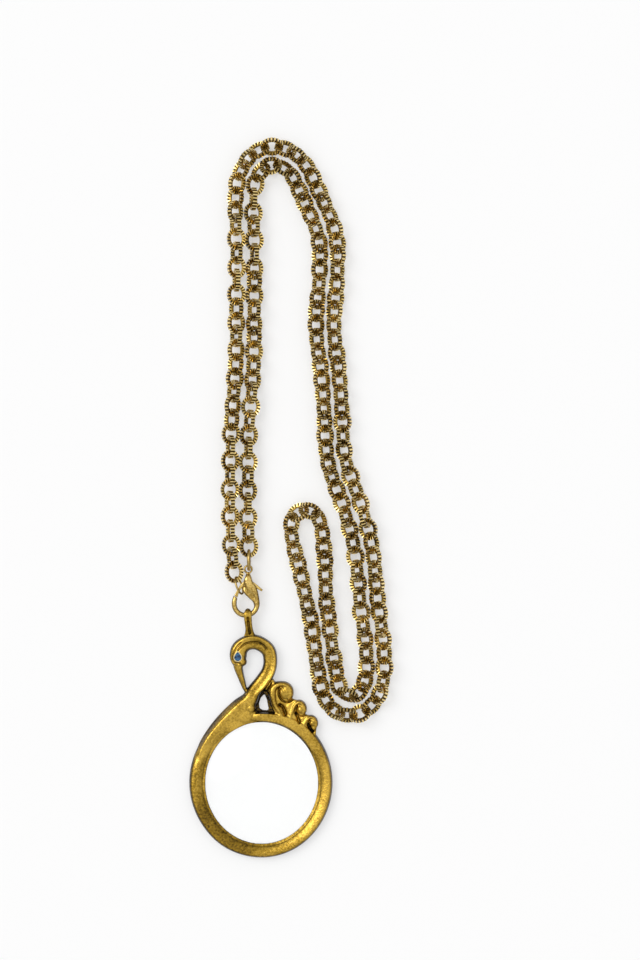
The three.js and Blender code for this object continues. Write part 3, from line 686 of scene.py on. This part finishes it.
bmesh.ops.recalc_face_normals(bm, faces=bm.faces)
collar = loose_object("eye_collar", bm)
paint_patina_light_and_shade(collar, flank=0.5, hollow=0.5)
bright_gold = plating(
    "bright_gold", dark=(0.14, 0.11, 0.06), middle=(0.48, 0.42, 0.26), bright=(0.72, 0.66, 0.46),
    roughness=0.15, grain_depth=0.01)
collar.data.materials.append(bright_gold)
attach(collar, "pendant")

# Bail: an upright loop of flat band on the crown of the neck, cast with it. The hook of the clasp passes
# through it from side to side, so the pendant swings on the hook.
hook_bottom = (-4.2, 50.55)
hook_level = 2.8
hook_wire = 1.5
hook_play = 0.4
bail_hole = hook_wire / 2 + hook_play
bail_wire = 0.75
bm = bmesh.new()
bail_middle = bail_hole + bail_wire / 2
bail_path = [
    (44.1, 3.2, 1.85, -3.45), (45.2, 3.3, 1.35, -3.6), (46.4, 3.5, 1.1, -3.75),
    (48.0, 3.8, 1.08, -3.95), (49.3, 4.1, 1.12, -4.08),
]
bow_half, bow_narrowing, bow_at = 1.15, 0.72, -4.12
for angle in np.radians(np.linspace(75, -75, 9)):
    c, s = math.cos(angle), math.sin(angle)
    bail_path.append((
        hook_bottom[1] + bail_middle * c, hook_level + bail_middle * s,
        bow_half * math.sqrt(1 - bow_narrowing * c ** 2), bow_at,
    ))
bail_path += [
    (49.3, 1.5, 1.12, -4.08), (48.0, 1.75, 1.08, -3.95), (46.4, 2.0, 1.1, -3.75),
    (45.2, 2.0, 1.3, -3.6), (44.1, 2.0, 1.7, -3.45),
]
line = smooth_line(bail_path, steps=90)
along = np.gradient(line[:, :2], axis=0)
along /= np.linalg.norm(along, axis=1)[:, None]
bail_section = [
    (-1, -0.6), (-1, 0.4), (-0.88, 0.7), (-0.64, 0.9), (-0.3, 1.0), (0, 1.04), (0.3, 1.0),
    (0.64, 0.9), (0.88, 0.7), (1, 0.4), (1, -0.6), (0.8, -1), (-0.8, -1),
]
rings = []
for (y, z, width, x), (uy, uz) in zip(line, along):
    section = [(across * width, out * bail_wire / 2) for across, out in bail_section]
    rings.append([(x + across, y - uz * out, z + uy * out) for across, out in section])
draw_bar(bm, rings)
bmesh.ops.recalc_face_normals(bm, faces=bm.faces)
bail = cast(loose_object("bail_band", bm), grain=0.1, rounding=2)
engrave(bail, [(0.3, 0.6, [(-3.55, 45.0), (-3.7, 46.2), (-3.9, 47.8), (-4.05, 49.6)])], above=3.0)
north = vertex_table(bail.data, "co")[:, 1] / MM
# Painted shade: the bail's stem is painted darker than its loop, and its flared base darker still, as
# painted shadow where it meets the neck.
paint_patina_light_and_shade(bail, flank=0.4, hollow=9.0, painted_shading=0.15 * fade(north, 50, 48.5) + 0.35 * fade(north, 46.5, 45))
dress(bail, antique_gold, "pendant", "antique_gold", "bail_loop")

# Clasp claw: one casting of pale gold plated brass, a flat pear-shaped body with an eye at the top, drawn
# out into a round hook. A slot through its middle takes the trigger lever.
clasp_level = hook_level
half_hook = hook_wire / 2
half_clasp = 1.5
clasp_eye = (-4.0, 64.2)
lever_pivot = (-4.4, 60.2)
lever_half = 0.45
lever_gap = 0.3
bm = bmesh.new()
claw_path = [
    (-4.0, 63.0, 0.5, 0.55), (-4.0, 61.8, 1.0, 0.9 * half_clasp), (-4.0, 60.2, 1.5, half_clasp),
    (-3.45, 58.2, 2.15, half_clasp), (-2.65, 56.75, 1.8, 0.9 * half_clasp),
    (-1.75, 55.05, 1.14, 0.75 * half_clasp), (-1.42, 53.4, 0.84, half_hook),
]
hook_line = [
    (-1.9, 51.9), (-2.9, 50.95), hook_bottom, (-5.6, 50.5), (-7.0, 51.2), (-8.0, 52.6), (-8.2, 54.3),
]
claw_path += [(x, y, half_hook, half_hook) for x, y in hook_line]
claw_path += [(-7.87, 55.75, 0.68, 0.68), (-7.5, 56.7, 0.66, 0.66)]


def claw_shape(share):
    """Squarish along the body of the claw, and round from there to the hook's end."""
    body_to, hook_from, corner, sides = 0.27, 0.42, 0.45, 20
    power = 1 - corner * fade(share, hook_from, body_to)
    section = []
    for k in range(sides):
        angle = (k + 0.5) / sides * 2 * math.pi
        c, s = math.cos(angle), math.sin(angle)
        section.append((math.copysign(abs(c) ** power, c), math.copysign(abs(s) ** power, s)))
    return section


eye_hole = 0.5 + lever_gap
eye_half_wire = 0.3
eye_half_height = 0.55
eye_rim = []
for k in range(8):
    c, s = math.cos(k * math.pi / 4), math.sin(k * math.pi / 4)
    eye_rim.append((eye_hole + eye_half_wire + eye_half_wire * c, eye_half_height * s))
turned(bm, eye_rim, steps=32, closed=True)
bmesh.ops.translate(bm, vec=(*clasp_eye, 0), verts=bm.verts)
flat_bar(bm, claw_path, steps=120, section_at=claw_shape)
bmesh.ops.translate(bm, vec=(0, 0, clasp_level), verts=bm.verts)
bmesh.ops.recalc_face_normals(bm, faces=bm.faces)
slot_outline = [(-5.9, 62.2), (0.6, 62.2), (0.6, 57.6), (-2.6, 57.6), (-3.6, 55.4), (-5.9, 55.4)]
slot_half = lever_half + lever_gap
slot_bm = bmesh.new()
slot_levels = (clasp_level - slot_half, clasp_level + slot_half)
draw_bar(slot_bm, [[(x, y, level) for x, y in slot_outline] for level in slot_levels])
seam_at = Vector((-7.74, 55.95))
seam_gap = 0.14
to_pivot = (Vector(lever_pivot) - seam_at).normalized()
seam_line = Vector((to_pivot.y, -to_pivot.x))


def seam_block(bm, side):
    """A block that trims the hook end or the gate tip along the path the gate swings on."""
    left, right, near, far, half_height = -1.2, 0.95, -seam_gap / 2, 1.2, 2
    sides = ((left, near), (right, near), (right, far), (left, far))
    corners = [seam_at + seam_line * a + to_pivot * side * b for a, b in sides]
    levels = (clasp_level - half_height, clasp_level + half_height)
    draw_bar(bm, [[(x, y, level) for x, y in corners] for level in levels])


seam_block(slot_bm, 1)
bmesh.ops.recalc_face_normals(slot_bm, faces=slot_bm.faces)
slot_cutter = loose_object("slot_cutter", slot_bm)
claw = cast(loose_object("clasp_claw", bm), grain=0.1, rounding=3, cutter=slot_cutter)
engrave(claw, [
    (0.65, 0.36, [(-5.3, 59.9), (-4.9, 58.6), (-4.1, 57.6), (-3.1, 56.7), (-2.4, 55.7)]),
    (0.5, 0.2, [(-2.4, 55.7), (-1.9, 54.4), (-1.6, 53.2)]),
], above=clasp_level + slot_half + 0.2)
paint_patina_light_and_shade(claw, flank=0.1, hollow=13.0)
pale_gold = plating(
    "pale_gold", dark=(0.03, 0.016, 0.003), middle=(0.34, 0.205, 0.03), bright=(0.76, 0.54, 0.17),
    roughness=0.14, grain_depth=0.006)
dress(claw, pale_gold, "clasp", "clasp_gold", "clasp_body")

# Trigger lever: a blade stamped from sheet, with a hub round the rivet, a gate arm that closes the hook
# and a thumb tab that stands out on the other side.
bm = bmesh.new()
lever_path = [
    (-8.05, 55.35, 0.6), (-7.79, 55.95, 0.58), (-7.35, 56.9, 0.46), (-6.92, 57.85, 0.44),
    (-6.03, 59.17, 0.44), (-4.4, 60.2, 0.7), (-2.7, 59.8, 0.6), (-1.5, 59.0, 0.5), (0.2, 57.8, 0.3),
]
blade_section = [(-1, -0.8), (-1, 0.8), (-0.8, 1), (0.8, 1), (1, 0.8), (1, -0.8), (0.8, -1), (-0.8, -1)]
lever_stations = [(*point, lever_half) for point in lever_path]
flat_bar(bm, lever_stations, steps=60, section_at=lambda share: blade_section)
hub_radius = 1.05
hub = bmesh.ops.create_cone(
    bm, cap_ends=True, segments=32, radius1=hub_radius, radius2=hub_radius, depth=2 * lever_half)
bmesh.ops.translate(bm, vec=(*lever_pivot, 0), verts=hub["verts"])
bmesh.ops.translate(bm, vec=(0, 0, clasp_level), verts=bm.verts)
bmesh.ops.recalc_face_normals(bm, faces=bm.faces)
rivet_radius = 0.4
hole_radius = rivet_radius + 0.2
hole_bm = bmesh.new()
bmesh.ops.create_cone(
    hole_bm, cap_ends=True, segments=24, radius1=hole_radius, radius2=hole_radius, depth=8)
bmesh.ops.translate(hole_bm, vec=(*lever_pivot, clasp_level), verts=hole_bm.verts)
seam_block(hole_bm, -1)
bmesh.ops.recalc_face_normals(hole_bm, faces=hole_bm.faces)
hole_cutter = loose_object("rivet_hole_cutter", hole_bm)
lever = cast(loose_object("lever_blade", bm), grain=0.07, rounding=2, cutter=hole_cutter)
paint_patina_light_and_shade(lever, flank=0.25, hollow=6.0)
dress(lever, pale_gold, "trigger", "clasp_gold", "trigger_lever")

# Rivet: a short brass pin, plated like the claw. It passes through both cheeks of the claw and the hub of
# the lever, and its ends are peened into low domes.
bm = bmesh.new()
peened_end = [(0, 0), (0.2, 0.02), (0.34, 0.08), (rivet_radius, 0.18)]
pin = [(radius, half_clasp - drop) for radius, drop in peened_end]
pin += [(radius, -level) for radius, level in reversed(pin)]
turned(bm, pin, steps=32, closed=False)
bmesh.ops.remove_doubles(bm, verts=bm.verts, dist=merge_gap)
bmesh.ops.translate(bm, vec=(*lever_pivot, clasp_level), verts=bm.verts)
bmesh.ops.recalc_face_normals(bm, faces=bm.faces)
rivet = loose_object("rivet_pin", bm)
paint_patina_light_and_shade(rivet, flank=0.5, hollow=2.0)
dress(rivet, pale_gold, "clasp", "clasp_gold", "trigger_rivet")

# Trigger spring: a narrow leaf of bare steel, bent to a shallow bow. It lies in the slot between the claw
# and the gate arm, and presses the gate shut.
bm = bmesh.new()
leaf_half = 0.125
leaf_half_height = 0.36
leaf_line = [(-2.95, 57.9), (-4.3, 57.5), (-5.25, 58.2)]
leaf_path = [(x, y, leaf_half, leaf_half_height) for x, y in leaf_line]
flat_bar(bm, leaf_path, steps=24, section_at=lambda share: blade_section)
bmesh.ops.translate(bm, vec=(0, 0, clasp_level), verts=bm.verts)
bmesh.ops.recalc_face_normals(bm, faces=bm.faces)
leaf = loose_object("spring_leaf", bm)
paint_patina_light_and_shade(leaf, flank=0.6, hollow=1.0)
bare_steel = plating(
    "bare_steel", dark=(0.2, 0.2, 0.2), middle=(0.45, 0.45, 0.45), bright=(0.62, 0.62, 0.61),
    roughness=0.3, grain_depth=0.004)
dress(leaf, bare_steel, "clasp", "spring_steel", "trigger_spring")

# Jump rings: round wire bent to a circle, its cut ends meeting at a fine seam. One stands upright in the
# clasp eye and carries the inner strand, the other leans on the gate arm and carries the outer strand.
grey_gold = plating(
    "grey_gold", dark=(0.05, 0.03, 0.007), middle=(0.36, 0.235, 0.055), bright=(0.72, 0.52, 0.18),
    roughness=0.2, grain_depth=0.004)


def wire_ring(name, radius, wire, turn, at, node):
    """A ring of round wire, open at a fine seam, turned and put in its place."""
    bm = bmesh.new()
    seam = 0.03 / radius
    bmesh.ops.create_circle(bm, cap_ends=True, segments=14, radius=wire / 2)
    bmesh.ops.rotate(bm, cent=(0, 0, 0), matrix=Matrix.Rotation(math.pi / 2, 3, "X"), verts=bm.verts)
    bmesh.ops.translate(bm, vec=(radius, 0, 0), verts=bm.verts)
    bmesh.ops.spin(
        bm, geom=bm.faces[:], cent=(0, 0, 0), axis=(0, 0, 1), angle=2 * math.pi - seam,
        steps=56, use_merge=False)
    bmesh.ops.recalc_face_normals(bm, faces=bm.faces)
    bmesh.ops.transform(bm, matrix=Matrix.Translation(at) @ turn, verts=bm.verts)
    made = loose_object(name, bm)
    made.data.polygons.foreach_set("use_smooth", [True] * len(made.data.polygons))
    paint_patina_light_and_shade(made, flank=0.45, hollow=1.0)
    dress(made, grey_gold, "clasp", "ring_metal", node)


eye_ring_radius = 2.8
eye_ring_wire = 1.0
eye_ring_rise = eye_ring_radius + eye_ring_wire / 2 + 0.05
eye_ring_at = Vector((clasp_eye[0] + 0.2, clasp_eye[1] + eye_ring_radius, eye_ring_rise))
upright = Matrix.Rotation(math.radians(90), 4, "Y")
wire_ring("eye_ring_wire", eye_ring_radius, eye_ring_wire, upright, eye_ring_at, "eye_jump_ring")
gate_ring_radius = 2.65
gate_ring_wire = 0.6
gate_ring_at = Vector((-6.75, 59.33, clasp_level + 0.1))
leaning = Matrix.Rotation(math.radians(20), 4, "Z") @ Matrix.Rotation(math.radians(75), 4, "Y")
wire_ring("gate_ring_wire", gate_ring_radius, gate_ring_wire, leaning, gate_ring_at, "gate_jump_ring")

# Chain: oval cable links stamped from flat brass band and notched all round, each quarter turned to the
# last, plated in antique gold. One long chain lies double, from the clasp up, over and down to its fold.
doubled_route = [
    (-6.5, 71.5), (-6.8, 80.8), (-6.8, 88.9), (-6.7, 97.0), (-6.5, 105.1), (-6.0, 112.9),
    (-5.4, 120.4), (-5.0, 127.6), (-4.9, 142.9), (-4.8, 160.6), (-5.2, 172.0), (-4.9, 178.9),
    (-3.6, 183.4), (-1.2, 186.7), (1.6, 188.3), (4.8, 188.4), (7.9, 187.1), (10.8, 184.7),
    (12.7, 181.4), (14.2, 177.7), (16.0, 173.8), (17.8, 169.7), (19.5, 165.4), (20.2, 160.3),
    (20.1, 154.9), (19.8, 148.0), (19.1, 141.7), (19.1, 133.6), (19.9, 128.5), (20.5, 123.4),
    (21.4, 112.0), (22.0, 100.0), (22.9, 94.9), (24.7, 89.8), (26.6, 85.0), (28.5, 78.7),
    (30.1, 72.7), (31.0, 67.0), (31.6, 61.0), (32.2, 54.4), (32.9, 49.0), (33.7, 43.9), (34.1, 38.8),
    (34.2, 33.4), (33.0, 27.8), (30.2, 24.1), (26.4, 22.8), (22.6, 24.3), (20.4, 29.0), (19.4, 35.2),
    (18.3, 42.1), (17.6, 48.4), (16.4, 55.0), (15.6, 61.6), (14.8, 67.6), (13.9, 72.7), (13.2, 77.6),
]
tilt_marks = [
    (0, 20), (42, 20), (54, 40), (80, 36), (90, 21), (104, 21), (116, 45), (150, 50), (185, 44),
    (215, 50), (235, 32), (262, 30), (275, 45), (300, 36), (330, 45), (352, 46), (380, 46),
]
link_length = 6.45
link_width = 5.8
link_wire = 1.15
link_rim = 1.4
link_fullness = 0.5
link_band = 1.5
link_inner_band = 0.5
link_inner = link_length - 2 * link_wire
link_play = 0.34
weld_depth = 0.12
folded_half = 4.7
folded_length = 30
strand_gap = 0.2
strand_half = ((link_width + link_band) * math.sqrt(0.5) + strand_gap) / 2
gate_end = (-8.0, 61.5)
lead_steps = 60


def link_tilt(distance):
    """How far the links lean, that far along the doubled chain."""
    later = [k for k, (mark, _) in enumerate(tilt_marks) if mark > distance]
    after = later[0] if later else len(tilt_marks) - 1
    (start, low), (end, high) = tilt_marks[after - 1], tilt_marks[after]
    return math.radians(low + (high - low) * ease_in((distance - start) / (end - start)))


def link_level(tilt):
    """How high the middle of a link lies that leans so on the table."""
    steep, flat = sorted((math.cos(tilt), math.sin(tilt)))
    return (link_width * flat + link_band * steep) / 2


def chain_line():
    """The whole chain as one line: up the inner strand, round the fold, back down the outer strand."""
    fine = smooth_line(doubled_route, steps=6000)
    walked = np.concatenate([[0], np.cumsum(np.linalg.norm(np.diff(fine, axis=0), axis=1))])
    length = walked[-1]
    even = np.linspace(0, length, 2401)
    middle = np.stack([np.interp(even, walked, fine[:, k]) for k in range(2)], axis=1)
    along = np.gradient(middle, axis=0)
    along /= np.linalg.norm(along, axis=1)[:, None]
    inner, outer = [], []
    for (x, y), (ux, uy), gone in zip(middle, along, even):
        half = strand_half + (folded_half - strand_half) * ease_in(1 - (length - gone) / folded_length)
        level = link_level(link_tilt(gone))
        inner.append(Vector((x + uy * half, y - ux * half, level)))
        outer.append(Vector((x - uy * half, y + ux * half, level)))
    (x, y), (ux, uy) = middle[-1], along[-1]
    fold = []
    for degrees in range(2, 180, 2):
        side = math.cos(math.radians(degrees)) * folded_half
        ahead = math.sin(math.radians(degrees)) * folded_half
        fold.append(Vector((x + uy * side + ux * ahead, y - ux * side + uy * ahead, inner[-1].z)))
    ring_top = eye_ring_at.y + eye_ring_radius - eye_ring_wire / 2
    start = Vector((eye_ring_at.x, ring_top - link_play / 2, inner[0].z))
    end = Vector((*gate_end, outer[0].z))
    outer.reverse()
    lead_in = [start.lerp(inner[0], k / lead_steps) for k in range(lead_steps)]
    lead_out = [outer[-1].lerp(end, k / lead_steps) for k in range(lead_steps + 1)]
    return lead_in + inner + fold + outer + lead_out


chain_points = chain_line()
links_a_group = 4
end_links = 2


def group_sizes(links):
    """How many links each group has: up the inner strand, round the fold and down the outer strand."""
    strand = (links - end_links) // 2 // links_a_group - 1
    left = links - end_links - 2 * strand * links_a_group
    folded = math.ceil(left / 2)
    return [links_a_group] * strand + [folded, left - folded] + [links_a_group] * strand + [end_links]


def link_ends(links):
    """How far each link reaches from its middle to its neighbours: less where two groups meet."""
    joined, free = (link_inner + weld_depth) / 2, (link_inner - link_play) / 2
    ends = []
    for size in group_sizes(links):
        ends += [(free if k == 0 else joined, free if k == size - 1 else joined) for k in range(size)]
    return ends


def step_along(lengths):
    """Steps along the chain line by straight link lengths, or nothing if they overrun it."""
    stops = [chain_points[0]]
    at = 0
    for length in lengths:
        here = stops[-1]
        while at < len(chain_points) - 1 and (chain_points[at + 1] - here).length < length:
            at += 1
        if at >= len(chain_points) - 1:
            return None
        near, far = ((chain_points[at + k] - here).length for k in (0, 1))
        share = (length - near) / (far - near) if near < length else 0
        stops.append(chain_points[at].lerp(chain_points[at + 1], share))
    return stops


# The most links that fit go in, in pairs, and all are then spaced alike so that the last meets its ring.
link_count = 160
while step_along([a + b for a, b in link_ends(link_count + 2)]):
    link_count += 2
ends = link_ends(link_count)
low, high = 1.0, 1.03
for _ in range(30):
    share = (low + high) / 2
    low, high = (share, high) if step_along([(a + b) * share for a, b in ends]) else (low, share)
stops = step_along([(a + b) * low for a, b in ends])

bm = bmesh.new()
half_band, half_inner_band = link_band / 2, link_inner_band / 2
inside, outside = 10, 20
section = [
    bm.verts.new((r, h, 0)) for r, h in
    [(inside, -half_inner_band), (outside, -half_band), (outside, half_band), (inside, half_inner_band)]
]
for here, there in zip(section, section[1:] + section[:1]):
    bm.edges.new((here, there))
steps_round = 40
bmesh.ops.spin(
    bm, geom=bm.verts[:] + bm.edges[:], cent=(0, 0, 0), axis=(0, 1, 0), angle=2 * math.pi,
    steps=steps_round, use_merge=True)
# Painted light on the links: the lands of the rim are painted as highlight, the notches between them and
# the inner faces as painted shade.
link_painted_light = []
notch_painted_shade, land_painted_highlight, inner_painted_shade = -0.4, 1.6, 0.45
notch_depth, notch_band = 0.94, 0.8
full_length = link_length + link_fullness
for vert in bm.verts:
    on_rim = math.hypot(vert.co.x, vert.co.z) > (inside + outside) / 2
    notch = on_rim and round(math.atan2(vert.co.z, vert.co.x) / (2 * math.pi / steps_round)) % 2
    link_painted_light.append(notch_painted_shade if notch else land_painted_highlight if on_rim else inner_painted_shade)
    width, length, reach = link_width, full_length, 2 * outside
    if not on_rim:
        width, length, reach = link_width - 2 * link_wire, full_length - 2 * link_rim, 2 * inside
    depth, band = (notch_depth, notch_band) if notch else (1, 1)
    vert.co = (vert.co.x * width / reach * depth, vert.co.y * band, vert.co.z * length / reach * depth)
bmesh.ops.recalc_face_normals(bm, faces=bm.faces)
link_mesh = bpy.data.meshes.new("notched_link")
bm.to_mesh(link_mesh)
bm.free()
# The bright end of this plating is a pale cream, the colour of the painted highlight on the links' lands.
chain_gold = plating(
    "chain_gold", dark=(0.014, 0.008, 0.002), middle=(0.52, 0.325, 0.05), bright=(0.97, 0.78, 0.38),
    roughness=0.18, grain_depth=0.008)
walked = [0, *np.cumsum([(there - here).length for here, there in zip(stops, stops[1:])])]
sway = math.radians(8)
sway_step = 1.7


def link_place(i):
    """Where link i lies: its middle on the chain line, quarter turned against its neighbours."""
    along = stops[i + 1] - stops[i]
    length = along.length
    along.normalize()
    from_clasp = min(walked[i], len(stops) * link_inner - walked[i])
    side, quarter = (1, i % 2) if i < link_count / 2 else (-1, (i + 1) % 2)
    tilt = side * link_tilt(from_clasp) + quarter * math.pi / 2 + sway * math.sin(sway_step * i)
    flat = Vector((along.y, -along.x, 0)).normalized()
    facing = flat.cross(along).normalized() * math.cos(tilt) + flat * math.sin(tilt)
    before, after = ends[i]
    middle = stops[i] + along * length * before / (before + after)
    across = facing.cross(along).normalized()
    reach = math.hypot(across.z * link_width, along.z * link_length) / 2 + abs(facing.z) * link_band / 2
    middle.z = max(middle.z, reach)
    return Matrix.Translation(middle) @ Matrix((across, facing, along)).transposed().to_4x4()


bodies = frame["record"]["behaviour"]["bodies"]
body_of_node = {node: body for body, nodes in bodies.items() for node in nodes}
sizes = group_sizes(link_count)
strand = (len(sizes) - 3) // 2
first = 0
for g, size in enumerate(sizes):
    if g < strand:
        group = f"inner_{g + 1:02d}"
    elif g < strand + 2:
        group = f"fold_{g - strand + 1:02d}"
    else:
        group = f"outer_{2 * strand + 3 - g:02d}"
    bm = bmesh.new()
    patina_and_painted_light = bm.verts.layers.float.new("patina_and_painted_light")
    for i in range(first, first + size):
        known = len(bm.verts)
        bm.from_mesh(link_mesh)
        bm.verts.ensure_lookup_table()
        fresh = bm.verts[known:]
        for vert, value in zip(fresh, link_painted_light):
            vert[patina_and_painted_light] = value
        bmesh.ops.transform(bm, matrix=link_place(i), verts=fresh)
    first += size
    links = loose_object("links_" + group, bm)
    dress(links, chain_gold, body_of_node["chain_" + group], "chain_gold", "chain_" + group)

bpy.context.view_layer.update()
